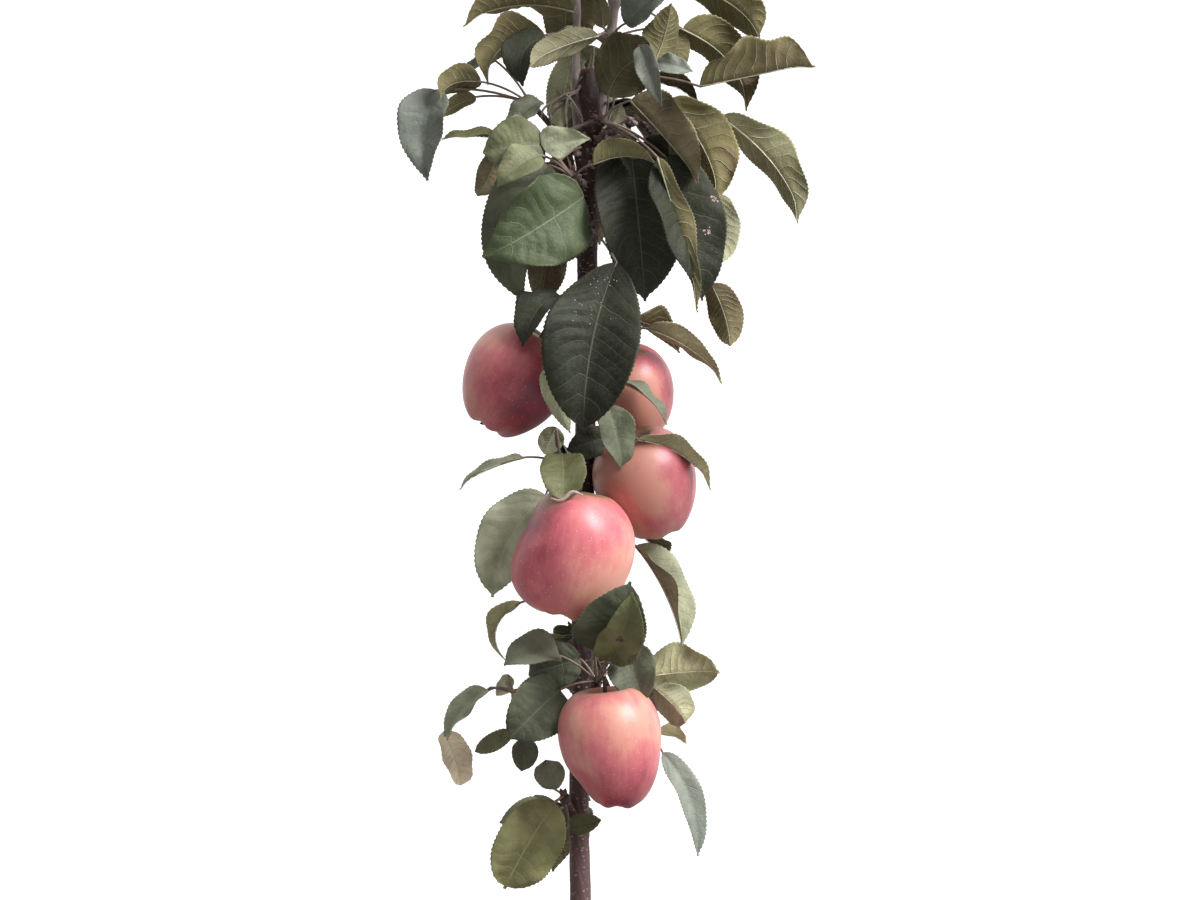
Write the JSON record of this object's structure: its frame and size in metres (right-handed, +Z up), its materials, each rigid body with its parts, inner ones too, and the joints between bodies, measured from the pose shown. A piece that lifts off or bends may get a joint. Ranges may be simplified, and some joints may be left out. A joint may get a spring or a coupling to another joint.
{
  "type": "dwarf apple tree in a pot",
  "caption": "Young dwarf apple tree grown as a single upright column with ripe fruit, in a plain round clay pot.",
  "frame": {"origin": "middle of the pot's flat underside, at the mount foot", "axes": "+Z up along the trunk, -Y towards the front of the tree, +X to the right seen from the front"},
  "size_m": [0.297, 0.29, 1.3403],
  "materials": {
    "clay": "matte",
    "compost": "matte",
    "bark": "satin",
    "foliage": "satin",
    "fruit": "satin"
  },
  "bodies": {
    "root": {"pot": "clay", "compost": "compost", "trunk": "bark", "leader_left": "bark", "leader_right": "bark", "spur_foot": "foliage", "spur_rosette": "foliage", "spur_left_low": "foliage", "spur_right_low": "foliage", "spur_left_mid": "foliage", "spur_right_mid": "foliage", "spur_front_mid": "foliage", "spur_right_front": "foliage", "spur_left_upper": "foliage", "spur_right_upper": "foliage", "spur_front_upper": "foliage", "spur_left_high": "foliage", "spur_left_top": "foliage", "spur_front_top": "foliage", "spur_right_top": "foliage", "spur_back_foot": "foliage", "spur_back_low": "foliage", "spur_back_mid": "foliage", "spur_back_upper": "foliage", "spur_back_high": "foliage", "spur_back_top": "foliage", "crown_left": "foliage", "crown_right": "foliage"}
  },
  "joints": []
}
